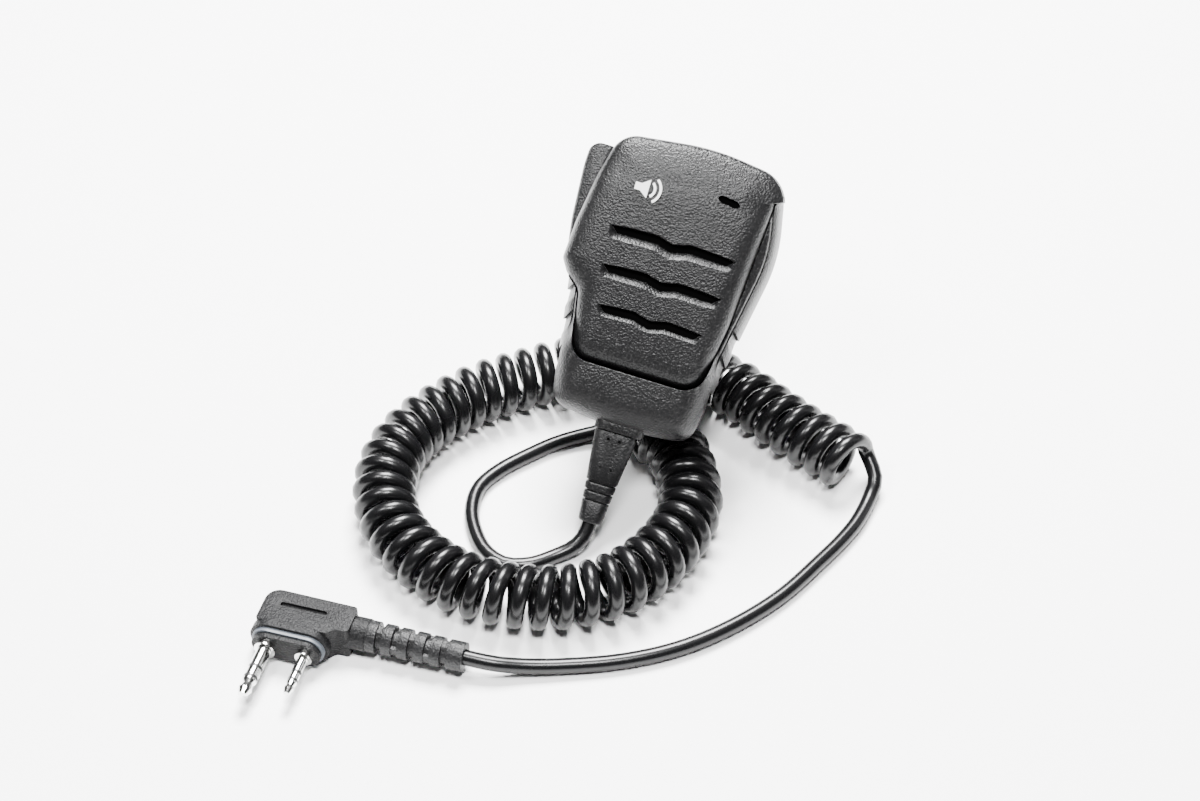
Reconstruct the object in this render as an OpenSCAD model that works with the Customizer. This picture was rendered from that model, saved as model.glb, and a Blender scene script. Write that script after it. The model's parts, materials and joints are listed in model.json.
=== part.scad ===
// Hand microphone: a palm-sized loudspeaker microphone with a talk key on its
// left side, a turning spring clip on its back, a curly cord and a two-pin
// right-angle plug.  Millimetres, +Z up, origin at the centre of the handset's
// own box.  The handset leans on its coiled cord, which lies on a table.

/* [Case] */
// Widest width of the case
case_w = 51; // [48:0.2:54]
// Width of the case near its lower end
case_low_w = 35.2; // [34:0.2:38]
// Height of the top of the case above the end of the cable boot
case_top = 96; // [94:0.5:98]
// Height of the bottom of the case above the end of the cable boot
case_low = 24; // [23:0.5:25]
// Wall thickness of both shells
wall = 2; // [1.6:0.1:2.2]
// Height of the lower edge of the raised front panel
panel_low = 38.2; // [37:0.2:40]

/* [Front openings] */
// Half width of the top loudspeaker slot
slot_top_half = 15.3; // [14:0.1:16]
// Half width of the middle loudspeaker slot
slot_mid_half = 14.6; // [13:0.1:15.5]
// Half width of the bottom loudspeaker slot
slot_low_half = 12.8; // [12:0.1:14]
// Height of the middle slot
slot_z = 61.6; // [60:0.2:63]
// Distance between neighbouring slots
slot_gap = 9.6; // [8.5:0.1:10.5]
// Length of the sound hole for the microphone
mic_hole_w = 5.4; // [4:0.2:6]

/* [Loudspeaker] */
// Outer diameter of the loudspeaker
speaker_d = 28.5; // [27:0.5:29]
// Height of the loudspeaker's axis
speaker_z = 61; // [60:0.5:62]

/* [Talk key] */
// Height of the key's pivot
key_pivot_z = 63; // [62:0.5:64]
// Diameter of the key's pivot pin
key_pin_d = 1.5; // [1.2:0.1:1.8]

/* [Back clip] */
// Height of the clip's turning axis
clip_z = 66; // [64:0.5:68]
// Width of the clip's base plate
clip_w = 18; // [16:0.5:20]
// Diameter of the screw that the clip turns on
clip_screw_d = 3; // [2.5:0.5:3.5]

/* [Cable and cord] */
// Length of the boot below the case
boot_len = 24.2; // [22:0.2:25]
// Diameter of the plain cable
cable_d = 3.8; // [3.4:0.1:4.2]
// Outer diameter of the curly part of the cord
curl_d = 16.5; // [15:0.5:18]

/* [Plug] */
// Diameter of the larger pin
pin_big_d = 3.5; // [3.5]
// Diameter of the smaller pin
pin_small_d = 2.5; // [2.5]
// Distance between the axes of the two pins
pin_gap = 9.7; // [9.5:0.1:10.5]
// Thickness of the plug's flange, which rests on the table
plug_t = 10; // [9:0.2:11]

/* [Hidden] */
slot_half = [slot_top_half, slot_mid_half, slot_low_half];

$fn = 48;
round_fn = 32;
cut = 1;                 // how far a cutter runs past the face it cuts
seam = 0.15;             // gap along the parting line of the two shells
black = "#1d1d1f";
rubber = "#161617";
steel = "#b9bcc0";
nickel = "#d8d9db";
brass = "#b08d57";

// Where the handset lies: the end of the boot, then turn, lean and roll
handset_at = [-19.9, -35.75, -36.8];
handset_turn = -24.5;
handset_lean = -44.6;
handset_roll = 15;
table_z = -43.8;
lay_at = [0.7, 1.6];     // place on the table that the cord's routes are measured from

// Depths in the handset, measured back from the boot's axis
front_y = -10;
parting_y = -3;
back_y = 16;
wing_y = 1.2;
key_front_y = 1.6;
key_back_y = 14.6;

// Talk key
key_pivot_x = -19.5;
key_low_z = 59.6;
key_top_z = 90;
key_in_x = -21;
switch_z = 80;
plunger_gap = 0.1;

// Screws
screw_places = [[-12.5, 43.5], [12.5, 43.5], [-16, 88], [16, 88]];
screw_seat_y = 12.8;
screw_r = 1.1;
board_screw_places = [[-11, 54], [11, 54], [-11, 80], [11, 80]];

// Circuit board
board_y = 4.5;
board_t = 1.2;

// Back clip
clip_plate_t = 2;
clip_plate_y = back_y + 0.1;
clip_face_y = clip_plate_y + clip_plate_t;
clip_pivot = [22, 59];   // depth and height of the jaw's pivot
clip_pin_r = 1;
running = 0.05;          // radial clearance of pins that turn

// Boot
boot_top = [11, 8.6];
boot_mid = [7.8, 7];
boot_end = [5.8, 5.6];
boot_mid_z = 10.4;

// Plug, in its own frame: x along the pins' row, y back from the pins' shoulder
plug_at = [-95.9, -73.3, table_z + plug_t / 2];
plug_turn = -16;
plug_cable_y = 9.8;
relief_x = [22, 46];

// Route of the plain lead from the boot to the curly cord: x, y and height
// above where a cable rests on the table
lead_a = [[-22, -40, 2.9], [-24.5, -42, 1.2], [-29, -44, 0.2], [-35, -46.5, 0],
    [-41, -46.5, 0], [-46, -42.5, 0], [-49, -35.5, 0], [-50, -28.5, 0],
    [-48.5, -21, 0], [-43.5, -15, 0], [-36, -9.5, 0], [-28.5, -5, 0],
    [-19, -2, 0.5], [-12, -1.5, 2], [-6, -4.5, 5]];

// Route of the curly cord's axis, which lies half its diameter above the table
curl_route = [[-4, -7.5], [-1, -10.5], [1.5, -14.5], [3, -19.5], [4.5, -30],
    [3.5, -36], [1.5, -41.5], [-5, -51], [-13.5, -58], [-24, -62], [-34.5, -62.5],
    [-44.5, -60.5], [-54.5, -56], [-63, -48.5], [-69, -39], [-71.5, -27.5],
    [-70, -16.5], [-65, -7], [-57.5, 0.5], [-49, 6.5], [-39, 11], [-29, 15],
    [-18, 17.5], [-5, 17], [8, 13.5], [17.5, 7.5], [25.5, -0.5], [33, -8],
    [40, -14], [45, -18.5], [48.5, -21.5]];

// Route of the plain lead from the curly cord to the plug
lead_b = [[52.5, -16.5, 4], [52.5, -20, 1], [50.5, -24, 0], [46, -32.5, 0],
    [41.5, -39, 0], [36, -45.5, 0], [25.5, -57, 0], [13, -66.5, 0], [0.5, -73, 0],
    [-13, -76.8, 0], [-27.5, -78.5, 0.3], [-36, -79, 0.9], [-43, -79.2, 2.1]];

// ---------- helpers ----------

function unit(v) = v / norm(v);

// Points of a polygon whose corners [x, y, radius] are rounded with arcs
function corner_arc(a, b, c, r, steps) =
    let (u = unit(a - b), v = unit(c - b),
        half = acos(u * v) / 2,
        middle = b + unit(u + v) * r / sin(half),
        p = b + u * r / tan(half) - middle,
        q = b + v * r / tan(half) - middle,
        from = atan2(p[1], p[0]),
        sweep = (atan2(q[1], q[0]) - from + 900) % 360 - 180)
    [for (i = [0:steps]) middle + r * [cos(from + sweep * i / steps),
        sin(from + sweep * i / steps)]];

function flat(corner) = [corner[0], corner[1]];

function rounded(corners, steps = 6) =
    let (n = len(corners))
    [for (i = [0:n - 1]) each corner_arc(flat(corners[(i + n - 1) % n]),
        flat(corners[i]), flat(corners[(i + 1) % n]), corners[i][2], steps)];

// Rings round a route, for a tube of the given radius
function heading(route, i) =
    unit(route[min(i + 1, len(route) - 1)] - route[max(i - 1, 0)]);

function ring(at, along, r, sides) =
    let (side = unit(cross(along, [0, 0, 1])), up = cross(side, along))
    [for (k = [0:sides - 1]) at + r * (cos(360 * k / sides) * side
        - sin(360 * k / sides) * up)];

module tube(route, r, sides) {
    last = len(route) - 1;
    points = [for (i = [0:last]) each ring(route[i], heading(route, i), r, sides)];
    walls = [for (i = [0:last - 1], k = [0:sides - 1])
        [i * sides + k, i * sides + (k + 1) % sides,
        (i + 1) * sides + (k + 1) % sides, (i + 1) * sides + k]];
    near = [[for (k = [sides - 1:-1:0]) k]];
    far = [[for (k = [0:sides - 1]) last * sides + k]];
    polyhedron(points, concat(walls, near, far));
}

module in_handset() {
    translate(handset_at)
        rotate([0, 0, handset_turn])
            rotate([handset_lean, 0, 0])
                rotate([0, 0, handset_roll])
                    children();
}

module in_plug() {
    translate(plug_at)
        rotate([0, 0, plug_turn])
            children();
}

// A flat shape drawn as x and height, made solid from one depth to another
module deep(y_from, y_to) {
    translate([0, y_to, 0])
        rotate([90, 0, 0])
            linear_extrude(y_to - y_from)
                children();
}

// A round bar that runs back from y_from to y_to at [x, height]
module bar_y(place, y_from, y_to, r) {
    translate([place[0], y_from, place[1]])
        rotate([-90, 0, 0])
            cylinder(h = y_to - y_from, r = r);
}

module ring_y(place, y_from, y_to, r, hole) {
    difference() {
        bar_y(place, y_from, y_to, r);
        bar_y(place, y_from - cut, y_to + cut, hole);
    }
}

// ---------- outlines, as x and height ----------

case_corners = [[0, case_low - 0.2, 60], [case_low_w / 2, case_low + 1.6, 5],
    [case_w / 2 + 0.2, 75, 40], [22.3, case_top, 9], [-22.3, case_top, 9],
    [-case_w / 2 - 0.2, 75, 40], [-case_low_w / 2, case_low + 1.6, 5]];

panel_corners = [[16.2, panel_low, 6], [18.9, 56, 40], [20.9, case_top - 0.6, 8.5],
    [-20.9, case_top - 0.6, 8.5], [-18.9, 56, 40], [-16.2, panel_low, 6]];

// The panel reaches further left above the lower end of the talk key
wing_corners = [[-8, 54.5, 0.5], [-8, case_top - 0.6, 0.5], [-22.2, case_top - 0.6, 8.5],
    [-24.2, 72, 40], [-22.4, 59.5, 3], [-17.6, 54.5, 2]];

module case_outline(inset, low = 0) {
    intersection() {
        offset(delta = -inset) polygon(rounded(case_corners));
        translate([-case_w, low]) square([2 * case_w, 2 * case_top]);
    }
}

module panel_outline(inset) {
    offset(delta = -inset) polygon(rounded(panel_corners));
}

module wing_outline(inset) {
    offset(delta = -inset) polygon(rounded(wing_corners));
}

// One thin slice of an outline at a given depth
slice = 0.01;

module slice_at(y) {
    deep(y, y + slice) children();
}

// ---------- case ----------

// Depth, inset and lowest height of the slices that shape the rear shell
rear_slices = [[-8, 6, 0], [-5.5, 3, 0], [-1, 0.8, 0], [4, 0, 0], [7, 0.4, 26],
    [11, 1.2, 31.5], [14.5, 3.2, 36.5], [back_y - slice, 5.5, 39]];
rear_hollow = [[-8.2, 8.4, 0], [-5.5, 5.8, 0], [4, 2, 0], [7, 2.4, 29],
    [11, 3.4, 35], [13.5, 5.2, 40]];

module stacked_case(slices) {
    hull() {
        for (s = slices) {
            slice_at(s[0]) case_outline(s[1], s[2]);
        }
    }
}

module panel_solid(slices) {
    hull() {
        for (s = slices) {
            slice_at(s[0]) panel_outline(s[1]);
        }
    }
}

module wing_solid(slices) {
    hull() {
        for (s = slices) {
            slice_at(s[0]) wing_outline(s[1]);
        }
    }
}

// Shape of one loudspeaker slot, a shallow pair of wings
module slot_shape(half) {
    polygon([[-half, 0], [-4.8, 0.7], [-2.4, 0.45], [0, -0.3], [2.4, 0.45], [4.8, 0.7],
        [half, 0], [half - 1.4, -1.2], [half - 1.7, -2], [4.8, -1.5], [0, -2.6],
        [-4.8, -1.5], [-half + 1.7, -2], [-half + 1.4, -1.2]]);
}

// Depth and inset of the slices that round the edge of the front panel
front_slices = [[front_y, 4.4], [front_y + 0.5, 2.4], [front_y + 1.7, 1], [front_y + 4, 0.25]];

module slot_cuts() {
    for (i = [0:2]) {
        deep(front_y - cut, front_y + wall + cut)
            translate([0, slot_z + (1 - i) * slot_gap])
                slot_shape(slot_half[i]);
    }
}

mic_at = [9.9, 84.6];

module mic_hole() {
    for (s = [-1, 1]) {
        bar_y(mic_at + s * [mic_hole_w / 2 - 0.9, -0.25], front_y - cut, front_y + wall + cut, 0.9);
    }
    deep(front_y - cut, front_y + wall + cut)
        translate(mic_at)
            rotate(-8)
                square([mic_hole_w - 1.8, 1.7], center = true);
}

module front_shell() {
    in_handset() color(black) difference() {
        union() {
            difference() {
                union() {
                    panel_solid(concat(front_slices, [[parting_y - slice, 0]]));
                    wing_solid(concat(front_slices, [[wing_y - slice, 0]]));
                }
                panel_solid([[front_y + wall, 4.5], [front_y + 4, 2.6], [wing_y + cut, 2.2]]);
                wing_solid([[front_y + 4.5, 4], [wing_y + cut, wall]]);
            }
            for (p = screw_places) {
                bar_y(p, front_y + wall - 0.1, parting_y, 2.3);
            }
        }
        slot_cuts();
        mic_hole();
        for (p = screw_places) {
            bar_y(p, front_y + 3.6, wing_y + cut, screw_r);
        }
    }
}

grip_places = [51, 43.7, 36.4];
side_slope = atan((case_w - case_low_w) / 2 / (75 - case_low - 1.6));

function case_half(z) = case_low_w / 2 + (z - case_low - 1.6) * tan(side_slope);

module grip_cuts() {
    for (s = [-1, 1], z = grip_places) {
        translate([s * case_half(z), 3, z])
            rotate([0, s * side_slope, 0])
                cube([2, 12, 3.7], center = true);
    }
}

module key_pocket() {
    translate([-case_w, wing_y - cut, key_low_z - 0.6])
        cube([case_w - 17, key_back_y + 0.4 - wing_y + cut, key_top_z - key_low_z + 1.6]);
}

module cable_collar() {
    difference() {
        translate([0.4, 0, case_low - 0.8])
            linear_extrude(5)
                polygon(rounded([[-6.1, -5, 2], [6.1, -5, 2], [6.1, 5, 2], [-6.1, 5, 2]]));
        translate([0, 0, case_low - 0.8 - cut]) cylinder(h = 5 + 2 * cut, d = cable_d);
    }
}

module rear_shell() {
    in_handset() color(black) difference() {
        union() {
            difference() {
                stacked_case(rear_slices);
                stacked_case(rear_hollow);
                deep(front_y - cut, parting_y) panel_outline(-seam);
                deep(front_y - cut, wing_y) wing_outline(-seam);
                deep(parting_y - cut, parting_y + 0.5) seal_ring(0.05);
                key_pocket();
                grip_cuts();
            }
            for (p = screw_places) {
                bar_y(p, parting_y, screw_seat_y + 1, 2.6);
            }
            for (p = board_screw_places) {
                bar_y(p, board_y + board_t, back_y - wall + 0.5, 1.8);
            }
            bar_y([0, clip_z], back_y - 5.5, back_y, 4.5);
            cable_collar();
        }
        for (p = screw_places) {
            bar_y(p, parting_y - cut, back_y + cut, screw_r + 0.2);
            bar_y(p, screw_seat_y, back_y + cut, 2.2);
        }
        for (p = board_screw_places) {
            bar_y(p, board_y, board_y + 6, 0.8);
        }
        bar_y([0, clip_z], back_y - 5, back_y + cut, clip_screw_d / 2);
        cylinder(h = 40, d = cable_d);
    }
}

// Soft cord in a groove of the rear shell, under the rim of the front shell
module seal_ring(grow) {
    difference() {
        panel_outline(0.15 - grow);
        panel_outline(0.65 + grow);
        translate([-40, 53]) square([32.6, 60]);
    }
}

module case_seal() {
    in_handset() color(rubber) deep(parting_y, parting_y + 0.5) seal_ring(0);
}

module case_screws() {
    in_handset() color(steel) for (p = screw_places) {
        difference() {
            union() {
                bar_y(p, screw_seat_y, screw_seat_y + 1.5, 2);
                bar_y(p, front_y + 4.2, screw_seat_y + 0.1, screw_r);
            }
            deep(screw_seat_y + 0.8, screw_seat_y + 2)
                translate(p) {
                    square([2.4, 0.5], center = true);
                    square([0.5, 2.4], center = true);
                }
        }
    }
}

// Printed sign of a loudspeaker with two sound waves
emblem_at = [-9.5, 82];

module sound_wave(r) {
    intersection() {
        difference() {
            circle(r);
            circle(r - 0.6);
        }
        polygon([[0, 0], [2 * r, -1.3 * r], [2 * r, 1.3 * r]]);
    }
}

module front_emblem() {
    in_handset() color("#e9e9e6") deep(front_y - 0.08, front_y) translate(emblem_at) {
        translate([-3.4, -0.9]) square([1.5, 1.8]);
        polygon([[-1.9, -0.9], [0, -2.3], [0, 2.3], [-1.9, 0.9]]);
        translate([-0.6, 0]) {
            sound_wave(2.4);
            sound_wave(3.8);
        }
    }
}

// ---------- loudspeaker ----------

speaker_r = speaker_d / 2;
speaker_at = [0, speaker_z];
sheet_t = 0.15;
speaker_front_y = -7.25;

// A part turned about the loudspeaker's axis, drawn as radius and depth
module turned() {
    translate([0, 0, speaker_z])
        rotate([-90, 0, 0])
            rotate_extrude($fn = 64)
                children();
}

module speaker_gasket() {
    in_handset() color(rubber)
        ring_y(speaker_at, front_y + wall + sheet_t, speaker_front_y, speaker_r, speaker_r - 1.7);
}

// Thin sheet behind all three slots
module speaker_membrane() {
    in_handset() color("#303236") deep(front_y + wall, front_y + wall + sheet_t)
        intersection() {
            panel_outline(4.7);
            translate([-20, 46.2]) square([40, 30.8]);
        }
}

module speaker_frame() {
    in_handset() color("#3a3b3d") turned()
        polygon([[speaker_r - 1.8, speaker_front_y], [speaker_r, speaker_front_y],
            [speaker_r, -5], [speaker_r - 2, -4.4], [8.7, -1.7], [7.5, -1.7], [7.5, -2.7],
            [8.2, -2.7], [speaker_r - 2.8, -5.2], [speaker_r - 1.8, -5.4]]);
}

module speaker_yoke() {
    in_handset() color(steel) turned()
        polygon([[5, -1.7], [8.2, -1.7], [8.2, 2.6], [0, 2.6], [0, 1.5], [5, 1.5]]);
}

module speaker_magnet() {
    in_handset() color("#55575a") bar_y(speaker_at, -0.1, 1.5, 4);
}

module pole_plate() {
    in_handset() color(steel) bar_y(speaker_at, -1.2, -0.1, 4.05);
}

module speaker_cone() {
    in_handset() color("#202022") turned()
        polygon([[0, -5.2], [2.6, -4.9], [4.3, -4.1], [4.9, -4.1], [speaker_r - 4.2, -6.1],
            [speaker_r - 3.2, -6.8], [speaker_r - 2.1, -6.5], [speaker_r - 2.1, -6.2],
            [speaker_r - 3.2, -6.4], [speaker_r - 4.1, -5.75], [5, -3.75], [4.2, -3.75],
            [2.5, -4.55], [0, -4.85]]);
}

module voice_coil() {
    in_handset() color(brass) turned()
        polygon([[4.35, -3.75], [4.7, -3.75], [4.7, 0.6], [4.35, 0.6]]);
}

// ---------- microphone ----------

module mic_holder() {
    in_handset() color(rubber) difference() {
        bar_y(mic_at, front_y + wall, -4.2, 4);
        bar_y(mic_at, front_y + wall - cut, -5, 3);
        for (s = [-1, 1]) {
            bar_y(mic_at + [s * 1.2, 0], -6, -3, 0.4);
        }
    }
}

module mic_membrane() {
    in_handset() color("#2a2a2c") bar_y(mic_at, front_y + wall + 0.02, front_y + wall + 0.2, 2.95);
}

module mic_capsule() {
    in_handset() color(steel) difference() {
        bar_y(mic_at, front_y + wall + 0.2, -5, 3);
        bar_y(mic_at, front_y + wall, front_y + wall + 0.6, 1);
    }
}

// ---------- circuit board ----------

module circuit_board() {
    in_handset() color("#1f5a36") difference() {
        deep(board_y, board_y + board_t) {
            translate([-14, 50]) square([28, 34]);
            translate([-9, 38]) square([18, 12.5]);
        }
        for (p = board_screw_places) {
            bar_y(p, board_y - cut, board_y + board_t + cut, 1);
        }
    }
}

// Chips, capacitors and a row socket on the board: [x, z, width, height, depth]
board_blocks = [[-4, 68, 7, 7, 1], [6, 72, 4, 5, 1], [4, 60, 5, 4, 1.2],
    [-8, 60, 3, 2, 0.9], [-8, 74, 2, 3, 0.9], [0, 77, 3, 2, 0.9], [8, 66, 2, 3, 0.9]];

module board_parts() {
    in_handset() {
        color("#2b2b2d") for (b = board_blocks) {
            translate([b[0] - b[2] / 2, board_y + board_t, b[1] - b[3] / 2])
                cube([b[2], b[4], b[3]]);
        }
        color("#e8e4d8") translate([-6, board_y - 3, 39.5]) cube([12, 3, 4]);
        color(steel) for (x = [-5, 5]) {
            bar_y([x, 47.5], board_y + board_t, board_y + board_t + 4.5, 2.4);
        }
    }
}

module board_screws() {
    in_handset() color(steel) for (p = board_screw_places) {
        difference() {
            union() {
                bar_y(p, board_y - 0.9, board_y, 1.6);
                bar_y(p, board_y - 0.1, board_y + 5, 0.8);
            }
            deep(board_y - 2, board_y - 0.4)
                translate(p) {
                    square([1.8, 0.4], center = true);
                    square([0.4, 1.8], center = true);
                }
        }
    }
}

// A straight round wire between two points
module wire(from, to, r) {
    along = to - from;
    translate(from)
        rotate([0, acos(along[2] / norm(along)), atan2(along[1], along[0])])
            cylinder(h = norm(along), r = r, $fn = 16);
}

wire_colours = ["red", "white", "black", "green", "yellow"];

module inner_wires() {
    in_handset() {
        for (i = [0:4]) {
            color(wire_colours[i])
                wire([(i - 2) * 0.7, (i % 2) * 0.8 - 0.4, 36.3], [(i - 2) * 2.2, 3, 39.2], 0.35);
        }
        for (s = [-1, 1]) {
            color("red") {
                wire([mic_at[0] + s * 1.2, -4.9, mic_at[1]], [mic_at[0] + s * 1.2, -3.8, mic_at[1]], 0.3);
                wire([mic_at[0] + s * 1.2, -3.8, mic_at[1]], [11.5 + s * 1.2, board_y - 0.3, 76.5], 0.3);
            }
            color("black") wire([-2 + s, 2.95, 61], [-2 + s, board_y - 0.35, 58], 0.3);
        }
    }
}

// ---------- talk key ----------

module key_bore(r, from, to) {
    bar_y([key_pivot_x, key_pivot_z], from, to, r);
}

// Outer face of the key, as x and height
key_corners = [[key_in_x, key_low_z, 0.4], [-24.5, key_low_z, 1.2], [-26.2, 70.5, 40],
    [-27.1, 84, 30], [-26.8, key_top_z, 3], [key_in_x, key_top_z, 0.4]];

module ptt_key() {
    in_handset() color(black) difference() {
        union() {
            deep(key_front_y, key_back_y) polygon(rounded(key_corners));
            key_bore(1.9, 4.3, 11.7);
            translate([key_in_x - 0.5, 4.3, key_pivot_z - 1.9]) cube([key_pivot_x - key_in_x + 0.5, 7.4, 3.8]);
            translate([key_in_x - 0.5, 6, switch_z - 2]) cube([1.2, 4, 4]);
        }
        key_bore(key_pin_d / 2 + running, 4, 12);
    }
}

module ptt_pin() {
    in_handset() color(steel) key_bore(key_pin_d / 2, 2.6, 13.4);
}

module ptt_bracket() {
    in_handset() color("#2e2f31") difference() {
        union() {
            translate([-17.4, 2.6, 60.2]) cube([1, 10.9, 24.2]);
            for (y = [2.6, 12.1]) {
                translate([-20.7, y, 60.4]) cube([3.8, 1.3, 5.2]);
            }
        }
        key_bore(key_pin_d / 2, 2, 14);
    }
}

// A bar along x at a depth and height
module bar_x(place, x_from, x_to, r) {
    translate([x_from, place[0], place[1]])
        rotate([0, 90, 0])
            cylinder(h = x_to - x_from, r = r);
}

switch_at = [8, switch_z];
key_rib_x = key_in_x + 0.7;

module ptt_switch() {
    in_handset() {
        color("#3c3d40") difference() {
            translate([-19, 5, switch_z - 3]) cube([1.6, 6, 6]);
            bar_x(switch_at, -19 - cut, -18.1, 1.25);
        }
        color(steel) for (y = [5.4, 9.8]) {
            translate([-17.9, y, switch_z - 3.8]) cube([0.5, 0.8, 0.8]);
        }
    }
}

module ptt_plunger() {
    in_handset() color("#c9c9c4") bar_x(switch_at, key_rib_x + plunger_gap, -18.9, 1.2);
}

module ptt_seal() {
    in_handset() color(rubber) difference() {
        bar_x(switch_at, -19.3, -19, 2.4);
        bar_x(switch_at, -20, -18, 1.3);
    }
}

// ---------- back clip ----------

ear_x = [7.3, 8.7];

module clip_bore(r, half) {
    bar_x(clip_pivot, -half, half, r);
}

module clip_base() {
    in_handset() color(black) difference() {
        union() {
            deep(clip_plate_y, clip_face_y)
                polygon(rounded([[-clip_w / 2, 44, 3], [clip_w / 2, 44, 3],
                    [clip_w / 2, 88, 3], [-clip_w / 2, 88, 3]]));
            for (s = [-1, 1]) {
                translate([s * 8 - 0.7, clip_face_y - 0.5, 56]) cube([1.4, clip_pivot[0] - clip_face_y + 0.5, 6]);
                translate([s * 8 - 0.7, 0, 0]) bar_x([clip_pivot[0], clip_pivot[1]], 0, 1.4, 3);
            }
            for (z = [80, 82.5, 85]) {
                translate([-7, clip_face_y - 0.1, z]) cube([14, 0.5, 1]);
            }
        }
        bar_y([0, clip_z], clip_plate_y - cut, clip_face_y + cut, clip_screw_d / 2 + running);
        clip_bore(clip_pin_r, 10);
    }
}

module clip_screw() {
    in_handset() color(steel) difference() {
        union() {
            bar_y([0, clip_z], clip_face_y + 0.35, clip_face_y + 1.6, 2.6);
            bar_y([0, clip_z], back_y - 4.5, clip_face_y + 0.4, clip_screw_d / 2);
        }
        deep(clip_face_y + 0.9, clip_face_y + 3)
            translate([0, clip_z]) {
                square([3, 0.6], center = true);
                square([0.6, 3], center = true);
            }
    }
}

module clip_washer() {
    in_handset() color(nickel)
        ring_y([0, clip_z], clip_face_y + 0.05, clip_face_y + 0.35, 3.6, clip_screw_d / 2);
}

// Side profile of the jaw, as depth and height
jaw_profile = [[27, 43], [28.3, 43.4], [25.4, 56], [24.2, 62], [23, 72], [21.8, 82],
    [19.9, 86.6], [18.8, 86.6], [18.9, 84.5], [20.2, 81], [21.4, 71], [22, 62.5], [23.6, 56]];

module jaw_plate(half) {
    rotate([90, 0, 90])
        translate([0, 0, -half])
            linear_extrude(2 * half)
                polygon(jaw_profile);
}

module clip_jaw() {
    in_handset() color(black) difference() {
        union() {
            jaw_plate(8);
            for (s = [-1, 1]) {
                translate([s * 6 - 0.7, 0, 0]) bar_x(clip_pivot, 0, 1.4, 2.6);
            }
        }
        clip_bore(clip_pin_r + running, 6.9);
        clip_bore(2, 4);
        translate([-9.5, 20, 55.6]) cube([2.6, 6, 6.8]);
        translate([6.9, 20, 55.6]) cube([2.6, 6, 6.8]);
    }
}

module clip_pin() {
    in_handset() color(steel) clip_bore(clip_pin_r, 9);
}

// Torsion spring as three rings round the pin, with a leg on the jaw and on the base
module clip_spring() {
    in_handset() color(nickel) {
        for (x = [-3, -1.5, 0, 1.5, 3]) {
            translate([x, clip_pivot[0], clip_pivot[1]])
                rotate([0, 90, 0])
                    rotate_extrude($fn = 40)
                        translate([1.36, 0]) circle(0.3, $fn = 16);
        }
    }
}

// ---------- cable ----------

module boot_slice(z, size) {
    translate([0, 0, z])
        linear_extrude(slice)
            polygon(rounded([[-size[0] / 2, -size[1] / 2, 2], [size[0] / 2, -size[1] / 2, 2],
                [size[0] / 2, size[1] / 2, 2], [-size[0] / 2, size[1] / 2, 2]]));
}

function boot_size(z) =
    z > boot_mid_z ? boot_mid + (boot_top - boot_mid) * (z - boot_mid_z) / (boot_len - boot_mid_z)
        : boot_end + (boot_mid - boot_end) * z / boot_mid_z;

module boot_part(low, high, inset = 0) {
    hull() {
        boot_slice(low, boot_size(low) - [inset, inset]);
        boot_slice(high - slice, boot_size(high) - [inset, inset]);
    }
}

groove = 0.5;
boot_top_z = case_low - 0.8;

module cable_boot() {
    in_handset() color(rubber) difference() {
        union() {
            boot_part(boot_mid_z, boot_top_z);
            boot_part(boot_mid_z - 2.3, boot_mid_z - groove);
            boot_part(boot_mid_z - 4.6, boot_mid_z - 2.3 - groove);
            boot_part(0, boot_mid_z - 4.6 - groove);
            boot_part(1, boot_mid_z + 1, 1);
        }
        translate([0, 0, -cut]) cylinder(h = boot_len + 2 * cut, d = cable_d);
    }
}

module cable_tail() {
    in_handset() color(black) cylinder(h = 36, d = cable_d);
}

module cable_clamp() {
    in_handset() color("#2e2f31") difference() {
        translate([-5, -3.4, 32]) cube([10, 12.3, 3.6]);
        cylinder(h = 60, d = cable_d);
    }
}

// ---------- cord ----------

function on_table(route, r) =
    [for (p = route) [p[0] + lay_at[0], p[1] + lay_at[1], table_z + r + p[2]]];

module lead_handset() {
    color(black) tube(concat([handset_at], on_table(lead_a, cable_d / 2)), cable_d / 2, 8);
}

module curly_cord() {
    color(black) tube(on_table([for (p = curl_route) [p[0], p[1], 0]], curl_d / 2), curl_d / 2, 12);
}

relief_end = plug_at + [cos(plug_turn) * relief_x[1] - sin(plug_turn) * plug_cable_y,
    sin(plug_turn) * relief_x[1] + cos(plug_turn) * plug_cable_y, 0];

module lead_plug() {
    color(black) tube(concat(on_table(lead_b, cable_d / 2), [relief_end]), cable_d / 2, 8);
}

// ---------- plug ----------

// A flat oval round both pins, made solid along y
module oval(y_from, y_to, grow) {
    translate([0, y_to, 0])
        rotate([90, 0, 0])
            linear_extrude(y_to - y_from) {
                for (x = [0, pin_gap]) {
                    translate([x, 0]) circle(grow);
                }
                translate([0, -grow]) square([pin_gap, 2 * grow]);
            }
}

flange_r = plug_t / 2;
collar_t = 1.2;
sleeve_from = collar_t + 0.2;

module pin_holes() {
    bar_y([0, 0], -cut, 2, pin_big_d / 2 - band);
    bar_y([pin_gap, 0], -cut, 2, pin_small_d / 2 - band);
}

module plug_body() {
    in_plug() color(black) difference() {
        union() {
            oval(2.5, 4.5, flange_r);
            translate([0, 0, -4.6])
                linear_extrude(9.2)
                    polygon(rounded([[-3.9, 4.2, 0.5], [14, 4.2, 1], [15, 5.9, 2], [18.5, 5.9, 1],
                        [18.5, 13.7, 1], [-3.9, 13.9, 3.4]]));
            translate([17, plug_cable_y, 0]) rotate([0, 90, 0]) cylinder(h = 5.1, r = 4);
            oval(1.3, 3, 3.3);
        }
        pin_holes();
        translate([0.9, plug_cable_y, 3.8]) cylinder(h = 2, r = 0.65);
        translate([11.3, plug_cable_y, 3.8]) cylinder(h = 2, r = 0.65);
        translate([0.9, plug_cable_y - 0.65, 3.8]) cube([10.4, 1.3, 2]);
    }
}

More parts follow.
